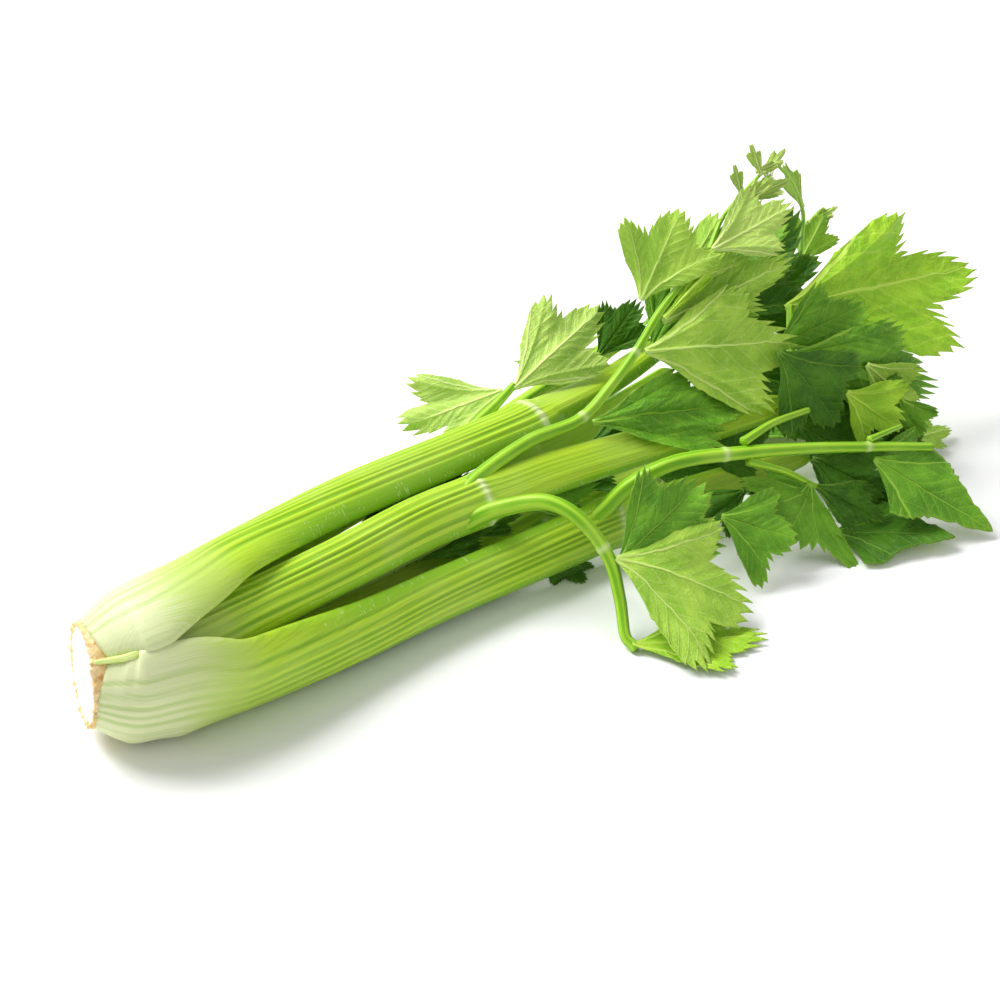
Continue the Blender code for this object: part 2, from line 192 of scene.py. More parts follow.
# The profile of the root: flat over the cut, round at its rim, and straight down its side.
radii = [*np.linspace(0, ROOT_RADIUS - 1.2, PITH_RINGS), *(ROOT_RADIUS + np.array((-0.6, -0.2, 0, 0.2, 0)))]
heights = [*np.zeros(PITH_RINGS), 0.1, 0.5, 1.1, 3, ROOT_DEPTH]
shape = bmesh.new()
profile = [shape.verts.new((radius * MM, 0, height * MM)) for radius, height in zip(radii, heights)]
edges = [shape.edges.new(pair) for pair in zip(profile, profile[1:])]
bmesh.ops.spin(
    shape,
    geom=[*profile, *edges],
    cent=(0, 0, 0),
    axis=(0, 0, 1),
    angle=math.tau,
    steps=ROOT_STEPS,
    use_merge=True,
)
bmesh.ops.remove_doubles(shape, verts=shape.verts, dist=WELD)
bmesh.ops.holes_fill(shape, edges=[edge for edge in shape.edges if edge.is_boundary], sides=0)
bmesh.ops.recalc_face_normals(shape, faces=shape.faces)

# The cut is uneven: lumps and a sunk line where the pith meets the ring, and a swollen rim.
centre, forward, back, up = middle_line(-TRIM)
ring_layer = shape.verts.layers.float.new("ring")
for vert in shape.verts:
    x, y, z = vert.co / MM
    radius = math.hypot(x, y)
    in_ring = np.clip((radius - RING_START + 1.2 * noise.noise(Vector((x, y, 3)) / 3)) / 2.5, 0, 1)
    front = max(0, 1 - z / 4)
    lump = noise.noise(Vector((x, y, z)) / 2.1) + 0.6 * noise.noise(Vector((x, y, z + 40)) / 1.1)
    rise = in_ring * RING_LUMP * (0.35 + lump) + (1 - in_ring) * PITH_LUMP * lump
    rise -= 0.9 * math.exp(-(((radius - RING_START) / 1.4) ** 2)) * (0.6 + lump)
    swell = 1 + front * in_ring * 0.045 * (lump + 0.4 * noise.noise(Vector((x, y, 9)) / 6))
    vert[ring_layer] = float(in_ring)
    at = centre + back * (x * swell) + up * (y * swell) + forward * (z - front * rise)
    vert.co = (at - Vector(ORIGIN)) * MM
mesh = bpy.data.meshes.new("cut_root")
shape.to_mesh(mesh)
shape.free()
placed("cut_root", mesh, [root_cut], "root_crown")

# ---------------------------------------------------------------------------------------------------
# The heart: three thin pale stalks in the middle of the head, which stand on the root and barely show.
# Each stalk of celery is a crescent in section, ribbed outside by its strings and hollow inside.
# ---------------------------------------------------------------------------------------------------
WRAP_ANGLE = 57  # from the middle of a section's arc to each of its edges
EDGE_SHARE = 0.34  # thickness of a stalk's two edges, as a share of its middle
OUTSIDE_SHARE = 0.7  # of the points round a section, those on its outside
RING_SPACING = 1.6
JOINT_SHOULDER = 7  # how far from a joint the stalk has begun to swell
TIP_LENGTH = 9  # the rounded end of a stalk
SEAM_WELD = 2e-6
NO_JOINT = 999
BROAD = 11  # half the width from which a stalk has more points round it
HEART_BASE = ((23, 8.4, 6, 2.4), (40, 8.6, 6, 2.8))


def ease(value, low, high):
    share = np.clip((value - low) / (high - low), 0, 1)
    return share * share * (3 - 2 * share)


def around(distance, angle, radius, half_width, thickness, facing=None):
    """A station of a stalk: its place, the way its outside faces, half its width and its thickness.

    It lies that far along the middle line, and round it by angle, 0 at the front and 90 on top."""
    place, _, back, up = middle_line(distance)
    turn = math.radians(angle)
    place = place + radius * (up * math.sin(turn) - back * math.cos(turn))
    return (*place, angle if facing is None else facing, half_width, thickness)


def wrapped(base, angle):
    return [around(distance, angle, *rest) for distance, *rest in base]


def even_route(rows, spacing):
    """The distances and rows along the smooth curve through the given rows, evenly spaced."""
    route = smooth_route(rows, 24)
    run = np.cumsum([0, *np.linalg.norm(np.diff(route[:, :3], axis=0), axis=1)])
    even = np.linspace(0, run[-1], round(run[-1] / spacing) + 1)
    return even, np.stack([np.interp(even, run, column) for column in route.T], axis=1)


def unit(vectors):
    return vectors / np.linalg.norm(vectors, axis=-1, keepdims=True)


def bent_grid(name, columns, rows, bend, closed):
    """A mesh from a flat grid whose points bend(u, v) puts in their places, in millimetres from the cut.

    bend also gives the values of the mesh's attributes. A closed one is joined along its first and
    last columns and filled at both ends."""
    shape = bmesh.new()
    bmesh.ops.create_grid(shape, x_segments=columns, y_segments=rows, size=0.5)
    flat = np.array([vert.co[:2] for vert in shape.verts]) + 0.5
    points, values = bend(flat[:, 0], flat[:, 1])
    layers = shape.verts.layers
    for key, numbers in values.items():
        layer = (layers.float if numbers.ndim == 1 else layers.float_vector).new(key)
        for vert, number in zip(shape.verts, numbers.tolist()):
            vert[layer] = number
    for vert, point in zip(shape.verts, ((points - ORIGIN) * MM).tolist()):
        vert.co = point
    if closed:
        bmesh.ops.remove_doubles(shape, verts=shape.verts, dist=SEAM_WELD)
        rims = [edge for edge in shape.edges if edge.is_boundary]
        bmesh.ops.holes_fill(shape, edges=rims, sides=0)
        bmesh.ops.recalc_face_normals(shape, faces=shape.faces)
    mesh = bpy.data.meshes.new(name)
    shape.to_mesh(mesh)
    shape.free()
    return mesh


def stalk(
    name, node, stations, material, joint=NO_JOINT, ribs=9, rib_depth=0.55, ribbed=(-1, 1),
    phase=0.0, blanched=0,
):
    """A ribbed stalk through its stations, with a raised pale ring where x is joint.

    ribbed is the part across its outside, from -1 to 1, that has the ribs. Past the joint the stalk
    has three smooth faces and fine lines. blanched is how much further its white base runs."""
    run, route = even_route(stations, RING_SPACING)
    places = route[:, :3]
    forward = unit(np.gradient(places, axis=0))
    turn = np.radians(route[:, 3])
    outward = np.stack([0 * turn, -np.cos(turn), np.sin(turn)], axis=1)
    outward = unit(outward - forward * np.sum(outward * forward, axis=1, keepdims=True))
    across = np.cross(forward, outward)
    wrap = math.radians(WRAP_ANGLE)
    at_joint = np.interp(joint, places[:, 0], run) if joint < places[-1, 0] else run[-1] + 100

    def bend(u, v):
        ring = np.rint(v * (len(run) - 1)).astype(int)
        outside = u <= OUTSIDE_SHARE + 1e-9
        w = np.where(outside, 2 * u / OUTSIDE_SHARE - 1, 1 - 2 * (u - OUTSIDE_SHARE) / (1 - OUTSIDE_SHARE))
        share = 1.35 * w - 0.35 * w**3
        tip = 0.3 + 0.7 * np.sqrt(ease(run[-1] - run[ring], 0, TIP_LENGTH))
        half_width, thickness = route[ring, 4] * tip, route[ring, 5] * tip
        distance = run[ring]
        x = places[ring, 0]
        past = ease(distance, at_joint - 1, at_joint + 5)
        rounding = np.sqrt(np.clip(1 - share**20, 0, 1))
        half = thickness / 2 * (EDGE_SHARE + (1 - EDGE_SHARE) * np.sqrt(np.clip(1 - share**2, 0, 1)))

        # The ribs are unevenly spaced and deep, with fine lines between them.
        wander = 0.045 * np.sin(5.1 * share + phase) + 0.02 * np.sin(12 * share + 2 * phase)
        wander = wander + 0.006 * np.sin(distance / 31 + 4 * share + phase)
        theta = math.pi * ribs * (share + wander)
        ridge = (0.5 + 0.5 * np.cos(theta)) ** 1.25
        fine = 0.5 + 0.5 * np.cos(2.6 * theta + 1.3 * np.sin(distance / 41) + phase)
        facets = 0.5 + 0.5 * np.cos(math.pi * 1.9 * share - 2.4)
        first, last = ribbed
        inside_ribs = ease(share, first, first + 0.12) * (1 - ease(share, last - 0.14, last))
        grown = 0.4 + 0.6 * ease(x, 8, 80)
        unequal = 0.75 + 0.25 * np.sin(8.3 * share + 3 * phase) + 0.12 * np.sin(19 * share + phase)
        depth = rib_depth * grown * inside_ribs * rounding * unequal
        swell = depth * (1 - 0.72 * past) * (ridge - 0.5) + 0.22 * depth * (fine - 0.5)
        swell = swell + 0.8 * past * rounding * (facets - 0.6)
        # The joint stands up as a narrow collar on a broad shoulder.
        near = distance - at_joint
        collar = np.exp(-((near / 1.5) ** 2))
        swell = swell + 0.55 * collar + 0.5 * np.exp(-((near / JOINT_SHOULDER) ** 2))
        swell = swell + 0.18 * np.sin(distance / 17 + phase) * rounding

        # The section is bent round an arc, so that its outside is crowned and its inside hollow.
        radius = half_width / wrap
        offset = np.where(outside, half * rounding + swell * rounding, -half * rounding)
        angle = share * wrap
        out = (radius + offset) * np.cos(angle) - radius
        side = (radius + offset) * np.sin(angle)
        points = places[ring] + across[ring] * side[:, None] + outward[ring] * out[:, None]

        # What the skin's colours follow: the blanched base, the ribs, the joint, the smooth flanks. Grooves
        # are deeper green, partly painted shade, and smooth faces are lighter or darker by painted shade.
        white = 1 - np.interp(x - blanched, (4, 16, 34, 56, 95), (0, 0.1, 0.42, 0.8, 1))
        ribs_and_painted_shade = ridge * unequal + (1 - unequal) * 0.7
        ribs_and_painted_shade = ribs_and_painted_shade * (1 - past) * inside_ribs + (1 - inside_ribs * (1 - past)) * (0.55 + 0.3 * facets)
        ribs_and_painted_shade = np.where(outside, ribs_and_painted_shade + 0.12 * (fine - 0.5), 0.75)
        pale = np.clip(collar * 1.1, 0, 1) * outside
        flank = (1 - inside_ribs) * outside * ease(x, 60, 110)
        strand = np.stack([side, distance, np.where(outside, 0.0, 9.0)], axis=1)
        values = {"white": white, "ridge": ribs_and_painted_shade, "pale": pale, "flank": flank, "strand": strand}
        return points, values

    columns = 150 if max(station[4] for station in stations) > BROAD else 96
    mesh = bent_grid(name, columns, len(run) - 1, bend, closed=True)
    return placed(name, mesh, [material], node)


# The deeper green of the painted shade on the smooth flanks, which face away from the lamps.
FLANK_PAINTED_SHADE = (0.2, 0.46, 0.012)
BASE_GROOVE = (0.5, 0.62, 0.25)


def stalk_finish(name, base, young, ridge_colour, groove_colour, painted_flank_shade=FLANK_PAINTED_SHADE):
    """The skin of a stalk: white where it leaves the root, then paler or deeper green over its ribs, the
    grooves partly painted shade, with painted shade and painted glints on its smooth flanks.
    """

    def paint(tree):
        strand = attribute(tree, "strand", "Vector")
        place = own_place(tree)
        ridge = attribute(tree, "ridge")
        white = attribute(tree, "white")
        streak = grain(tree, strand, 1, 4, (1.5, 0.03, 1))
        thread = grain(tree, strand, 1, 2, (4.5, 0.05, 1))
        cloud = grain(tree, place, 28, 2)
        speck = grain(tree, strand, 1, 3, (2.2, 1.3, 1))
        height = sum_of(tree, "ADD", ridge, sum_of(tree, "MULTIPLY_ADD", streak, 1.3, -0.65))
        # Deeper green in the grooves between the ribs, partly painted shade, and paler on the ribs; the
        # smooth faces past the joint get their painted shade through the same value.
        green = blended(tree, eased(tree, height, 0.0, 1.0), groove_colour, ridge_colour)
        green = blended(tree, eased(tree, cloud, 0.35, 0.7, 0, 0.35), green, young)
        blanch = sum_of(tree, "ADD", white, sum_of(tree, "MULTIPLY_ADD", thread, -0.55, 0.26))
        # Painted shade: the smooth flanks are darkened towards a deeper green.
        green = blended(tree, sum_of(tree, "MULTIPLY", attribute(tree, "flank"), 0.75), green, painted_flank_shade)
        colour = blended(tree, eased(tree, blanch, 0.12, 0.62), green, young)
        bleached = blended(tree, eased(tree, height, 0, 0.8), BASE_GROOVE, base)
        colour = blended(tree, eased(tree, blanch, 0.5, 0.95), colour, bleached)
        # Small pale dashes on the smooth flanks: painted glints.
        glint_spots = grain(tree, strand, 1, 1, (0.55, 1.5, 1))
        painted_glints = sum_of(tree, "MULTIPLY", eased(tree, glint_spots, 0.6, 0.68), attribute(tree, "flank"))
        dash = grain(tree, strand, 1, 0, (0.5, 0.12, 1))
        painted_glints = sum_of(tree, "MULTIPLY", painted_glints, eased(tree, dash, 0.5, 0.6, 0, 0.6))
        colour = blended(tree, painted_glints, colour, (0.78, 0.88, 0.5))
        pale = sum_of(tree, "MULTIPLY", attribute(tree, "pale"), 0.75)
        colour = blended(tree, pale, colour, (0.8, 0.87, 0.5))
        bumps = sum_of(tree, "MULTIPLY_ADD", thread, 0.7, sum_of(tree, "MULTIPLY", speck, 0.3))
        return {
            "Base_Color": colour,
            "Roughness": eased(tree, speck, 0.3, 0.7, 0.3, 0.44),
            "Normal": relief(tree, bumps, 0.0004, 0.5),
        }

    return finish(
        name,
        paint,
        Specular_IOR_Level=0.3,
        Subsurface_Weight=0.12,
        Subsurface_Radius=(1, 1, 0.4),
        Subsurface_Scale=0.002,
    )


WHITE_BASE = (0.69, 0.74, 0.42)
YOUNG_GREEN = (0.48, 0.64, 0.13)
STALK_RIDGE = (0.48, 0.7, 0.03)
STALK_GROOVE = (0.2, 0.43, 0.006)

heart_skin = stalk_finish(
    "heart_skin", WHITE_BASE, (0.66, 0.76, 0.3), (0.5, 0.66, 0.16), (0.25, 0.42, 0.05)
)
for number, (angle, end_x, end_y, end_z) in enumerate(
    [(-14, 168, -9, 28), (100, 250, 6, 33), (225, 232, 8, 20)], start=1
):
    stalk(
        f"inner_stalk_{number}",
        f"heart_stalk_{number}",
        [
            *wrapped(HEART_BASE, angle),
            around(80, angle, 8, 5.2, 3.4),
            around(118, angle, 8, 4.6, 3.6),
            (end_x - 22, end_y, end_z, angle, 4, 3.4),
            (end_x, end_y, end_z, angle, 2.4, 2.4),
        ],
        heart_skin,
        ribs=5,
        rib_depth=0.3,
        phase=number,
    )

# ---------------------------------------------------------------------------------------------------
# The second stalks: three, in the gaps between the outer ones, wrapped round the heart. One shows along
# the middle of the head. Each narrows up to its first joint, a pale raised ring, and runs on thinner.
# ---------------------------------------------------------------------------------------------------
SECOND_BASE = ((12, 14.4, 14.4, 3.4), (27, 18.6, 18, 4.6))

stalk_skin = stalk_finish("stalk_skin", WHITE_BASE, YOUNG_GREEN, STALK_RIDGE, STALK_GROOVE)
stalk(
    "stalk_middle",
    "middle_stalk",
    [
        *wrapped(SECOND_BASE, 46),
        around(62, 50, 17.8, 13.6, 5.2, 46),
        around(105, 51, 16.8, 11.8, 7.2, 41),
        around(150, 58, 13.8, 12.2, 8.6, 44),
        (176, -10, 42, 45, 11.8, 9.5),
        (190, -11, 42, 45, 10, 9),
        (218, -13, 42, 46, 9, 8.5),
        (262, -20, 42, 48, 8, 8),
        (305, -26, 41, 50, 6.5, 7),
        (334, -30, 41, 50, 5, 5.5),
    ],
    stalk_skin,
    joint=180,
    ribs=9,
    rib_depth=0.7,
    ribbed=(-1, 0.62),
    phase=1.4,
)
stalk(
    "stalk_back",
    "back_stalk",
    [
        *wrapped(SECOND_BASE, 166),
        around(62, 164, 18, 11, 5, 164),
        around(105, 163, 23, 8.6, 6, 164),
        around(150, 171, 30.5, 8.4, 7, 168),
        (208, 41, 31, 168, 9, 8),
        (222, 44, 32, 168, 7.5, 7),
        (270, 52, 37, 168, 6.5, 6),
        (325, 60, 42, 168, 4.5, 4.5),
    ],
    stalk_skin,
    joint=210,
    ribs=8,
    phase=2.2,
)
stalk(
    "stalk_under",
    "under_stalk",
    [
        *wrapped(SECOND_BASE, 286),
        around(62, 282, 17.4, 13.2, 5, 278),
        around(105, 276, 20, 12, 6.6, 272),
        around(150, 272, 22, 11.5, 7.6, 270),
        (215, 5, 8, 270, 11, 8.5),
        (229, 5, 8, 270, 9, 7.5),
        (280, 6, 8, 270, 8, 7),
        (325, 8, 8.5, 270, 5, 5),
    ],
    stalk_skin,
    joint=217,
    ribs=8,
    phase=3.1,
)

# ---------------------------------------------------------------------------------------------------
# The outer stalks: three broad ones, whose white bases wrap a third of the root each and hold the head
# together. They are the oldest, with the deepest ribs and the smoothest, palest flanks.
# ---------------------------------------------------------------------------------------------------
OUTER_BASE = (
    (-2.4, 18.9, 20.4, 3.8),
    (1, 20.4, 22.2, 4.2),
    (6, 22.8, 24.9, 4.7),
    (13, 25, 27.4, 5.2),
    (25, 26.6, 28, 5.8),
    (44, 27.2, 21, 6.6),
)
SHOULDER = 12  # how far from the cut a base has grown to its full size


def outer_base(angle, grown):
    """A base's stations, with its radius and its half width grown out behind the cut."""
    stations = []
    for distance, radius, half_width, thickness in OUTER_BASE:
        out = radius + grown * min(1, (distance + TRIM) / SHOULDER)
        stations.append((distance, out, half_width * out / radius, thickness))
    return wrapped(stations, angle)


stalk(
    "stalk_top",
    "top_stalk",
    [
        *outer_base(106, 2.6),
        around(66, 116, 30.2, 19.6, 7.4, 111),
        around(105, 131, 29.4, 15.4, 8, 98),
        around(150, 137, 28.6, 13.4, 9, 88),
        (228, 22, 47, 84, 12, 9.5),
        (242, 24, 46, 85, 9.5, 8.5),
        (275, 28, 45, 90, 8, 7.5),
        (305, 31, 49, 95, 7, 6.5),
        (336, 30, 60, 100, 5, 5),
    ],
    stalk_skin,
    joint=231,
    ribs=11,
    rib_depth=0.7,
    ribbed=(-1, 0.58),
    blanched=5,
)
stalk(
    "stalk_front",
    "front_stalk",
    [
        *outer_base(-13, 1.2)[:-1],
        around(44, -24, 28.6, 26.6, 6.6, -24),
        around(66, -25, 29.4, 22.6, 7.2, -19),
        around(105, -27.5, 29.4, 16, 8.2, -5),
        around(150, -27.5, 29.6, 13, 9, 8),
        (234, -29.5, 17, 20, 11.6, 9.5),
        (248, -30, 16.6, 22, 9.6, 8.5),
        (291, -35, 16, 25, 8.5, 7.5),
        (345, -38, 15, 30, 4, 4),
    ],
    stalk_skin,
    joint=237,
    ribs=11,
    rib_depth=0.75,
    ribbed=(-0.72, 0.5),
    phase=0.8,
    blanched=0,
)
stalk(
    "stalk_rear",
    "rear_stalk",
    [
        *outer_base(226, -0.6),
        around(66, 227, 26.8, 17.6, 7, 221),
        around(105, 225, 29, 14, 8, 213),
        around(150, 220, 33, 12, 9, 207),
        (235, 37, 10, 204, 11.5, 9),
        (250, 40, 9.5, 204, 9.5, 8),
        (290, 48, 10, 203, 8, 7),
        (345, 59, 12, 200, 5, 5),
    ],
    stalk_skin,
    joint=238,
    ribs=9,
    phase=4.4,
)

# ---------------------------------------------------------------------------------------------------
# The side branches: round green stems that leave the stalks at their joints, or fork from one another,
# and carry the leaves. Each has shallow flutes along it and swells to a pale ring where it starts.
# ---------------------------------------------------------------------------------------------------
BRANCH_COLUMNS = 40
BRANCH_SPACING = 0.9


def branch(name, node, points, start_radius, end_radius, material, overlap, rings=()):
    """A fluted side branch that thins from its start to its end, longer at both by overlap."""
    points = np.array(points, float)
    lead = unit(points[0] - points[1]) * overlap
    trail = unit(points[-1] - points[-2]) * overlap
    run, places = even_route([points[0] + lead, *points, points[-1] + trail], BRANCH_SPACING)
    forward = unit(np.gradient(places, axis=0))
    side = [unit(np.cross(forward[0], (0, 0, 1)))]
    for ahead in forward[1:]:
        side.append(unit(side[-1] - ahead * np.dot(side[-1], ahead)))
    side = np.array(side)
    over = np.cross(forward, side)
    total = run[-1]

    def bend(u, v):
        ring = np.rint(v * (len(run) - 1)).astype(int)
        distance = run[ring]
        turn = u * math.tau
        radius = start_radius + (end_radius - start_radius) * distance / total
        flute = 0.5 + 0.5 * np.cos(5 * turn + 0.4 * np.sin(distance / 14))
        collars = 0 * distance
        for place in rings:
            collars = collars + np.exp(-(((distance - place * total) / 1.3) ** 2))
        radius = radius * (0.95 + 0.1 * flute + 0.1 * collars + 0.14 * np.exp(-distance / 5))
        radius = radius * (1 + 0.1 * np.exp(-(total - distance) / 3))
        points = places[ring] + radius[:, None] * (
            side[ring] * np.cos(turn)[:, None] + over[ring] * np.sin(turn)[:, None]
        )
        strand = np.stack([radius * np.sin(turn), distance, radius * np.cos(turn)], axis=1)
        return points, {"ridge": flute, "pale": np.clip(collars, 0, 1), "strand": strand}

    mesh = bent_grid(name, BRANCH_COLUMNS, len(run) - 1, bend, closed=True)
    return placed(name, mesh, [material], node)


def paint_branch(tree):
    strand = attribute(tree, "strand", "Vector")
    ridge = attribute(tree, "ridge")
    streak = grain(tree, strand, 1, 3, (1.6, 0.05, 1.6))
    speck = grain(tree, strand, 1, 3, (2.2, 1.3, 2.2))
    height = sum_of(tree, "ADD", ridge, sum_of(tree, "MULTIPLY_ADD", streak, 1.6, -0.8))
    green = blended(tree, eased(tree, height, 0, 1), (0.16, 0.42, 0.008), (0.36, 0.63, 0.03))
    cloud = grain(tree, own_place(tree), 40, 2)
    green = blended(tree, eased(tree, cloud, 0.4, 0.7, 0, 0.4), green, (0.5, 0.72, 0.07))
    pale = sum_of(tree, "MULTIPLY", attribute(tree, "pale"), 0.6)
    return {
        "Base_Color": blended(tree, pale, green, (0.7, 0.82, 0.38)),
        "Roughness": eased(tree, speck, 0.3, 0.7, 0.32, 0.46),
        "Normal": relief(tree, sum_of(tree, "ADD", streak, speck), 0.0003, 0.4),
    }


def paint_shoot(tree):
    strand = attribute(tree, "strand", "Vector")
    streak = grain(tree, strand, 1, 3, (1.8, 0.15, 1.8))
    green = blended(tree, eased(tree, streak, 0.3, 0.7), (0.56, 0.72, 0.16), (0.78, 0.86, 0.36))
    return {
        "Base_Color": green,
        "Roughness": eased(tree, streak, 0.3, 0.7, 0.34, 0.5),
        "Normal": relief(tree, streak, 0.0003, 0.4),
    }


branch_skin = finish(
    "branch_skin",
    paint_branch,
    Specular_IOR_Level=0.3,
    Subsurface_Weight=0.12,
    Subsurface_Radius=(1, 1, 0.4),
    Subsurface_Scale=0.0015,
)
for name, node, start_radius, end_radius, rings, points in [
    (
        "stem_rising", "rising_branch", 3.4, 1.2, (0.44, 0.66),
        [
            (168, -7, 42.5), (181, -4, 48), (210, -2, 54), (236, -4, 56), (254, -2, 64),
            (271, 0, 76), (284, 2, 88), (298, 3, 98), (314, 3, 108),
        ],
    ),
    (
        "stem_young_1", "young_twig_1", 1.1, 0.7, (),
        [(315.5, 5, 109.6), (326, 10, 117), (339, 12, 124), (349, 13, 129)],
    ),
    (
        "stem_drooping", "drooping_branch", 3.8, 2.2, (0.6,),
        [
            (170, -14, 37), (180, -21, 42.5), (192, -36, 48.5), (199, -50, 44), (204, -62, 30),
            (202, -72, 16), (197, -81.5, 6), (197.5, -86, 3.2),
        ],
    ),
    (
        "stem_front", "front_branch", 3.8, 1.8, (0.42, 0.81),
        [
            (222, -27, 20), (231, -29, 26.5), (240, -35, 38), (257, -43, 46), (284, -53, 45),
            (312, -64, 42), (340, -74, 37), (366, -83, 31.5),
        ],
    ),
    (
        "stem_front_up", "front_twig_up", 1.9, 1.3, (),
        [(289, -51, 48.8), (308, -47, 48), (330, -43.5, 44)],
    ),
    (
        "stem_front_down", "front_twig_down", 1.9, 1.2, (),
        [(288, -56.4, 40.6), (300, -63, 35), (311, -69, 27)],
    ),
    (
        "stem_front_end", "front_end_twig", 1.4, 1, (),
        [(343, -72.6, 39.6), (353, -71, 38), (362, -69, 36)],
    ),
    (
        "stem_low_front", "low_front_twig", 2, 1.2, (),
        [(244, -43.5, 19), (251, -54, 23), (259, -62, 25)],
    ),
    (
        "stem_middle_end", "middle_end_branch", 2.6, 1.6, (),
        [(337, -26, 48), (346, -17, 56), (355, -6, 69)],
    ),
    (
        "stem_top_end", "top_end_branch", 2.4, 1.4, (),
        [(339, 30, 62), (360, 33, 62), (381, 35, 60), (401, 36, 59)],
    ),
    (
        "stem_young_2", "young_twig_2", 1.2, 0.7, (),
        [(400, 34, 63), (394, 28, 80), (386, 21, 98), (374, 17, 117), (363, 15, 129)],
    ),
    (
        "stem_back", "back_branch", 2.6, 1.6, (),
        [(213, 37, 43.5), (222, 36.5, 48.5), (232, 38, 53)],
    ),
]:
    branch(name, node, points, start_radius, end_radius, branch_skin, overlap=2.5, rings=rings)

# A short pale shoot that lies in the seam of the top and the front stalk, close to the root.
shoot_skin = finish(
    "shoot_skin",
    paint_shoot,
    Subsurface_Weight=0.15,
    Subsurface_Radius=(1, 1, 0.4),
    Subsurface_Scale=0.0015,
)
SHOOT_ROUTE = [(-2, 47, 20.4), (2, 46.5, 21.9), (7, 45.5, 24.3), (12, 46, 26), (17, 48, 25.4)]
shoot = [around(distance, angle, radius, 1, 1)[:3] for distance, angle, radius in SHOOT_ROUTE]
branch("seam_shoot", None, shoot, 0.9, 1.8, shoot_skin, overlap=1)

# ---------------------------------------------------------------------------------------------------
# The leaflets: thin fan-shaped blades, cut into lobes and coarse pointed teeth. Main veins run out from
# the base to the lobes, and side veins to the teeth. The upper side is dark and glossy, the under pale.
# ---------------------------------------------------------------------------------------------------
FAN_ANGLE = 55
BASE_FAN_SHARE = 0.65  # how much of the fan's angle is open at the base of the blade
FAN_WIDTH = 1.02  # width of a blade of length 1 with that fan
FAN_LINES = (0, 0.16, 0.33, 0.45, 0.63, 0.82, 1)
FAN = (1, 0.93, 0.8, 0.77, 0.87, 0.77, 0.42)  # how far a blade reaches along those lines
KITE = (1, 0.74, 0.6, 0.56, 0.52, 0.46, 0.4)  # the same for a blade with no lobes and a long point
LOBES = 1.5  # on each side of the midrib: a whole one, and half of the middle one
SIDE_VEINS = 9  # along the length of a blade
SIDE_SLANT = 10.5  # how much the side veins lean forward
TOOTH_LEAN = 0.03
LEAF_ROWS = 34
TOOTH_COLUMNS = 8
BLADE_THICKNESS = 0.45
VEIN_BEND = 0.05
NET_SCALE = 42.0


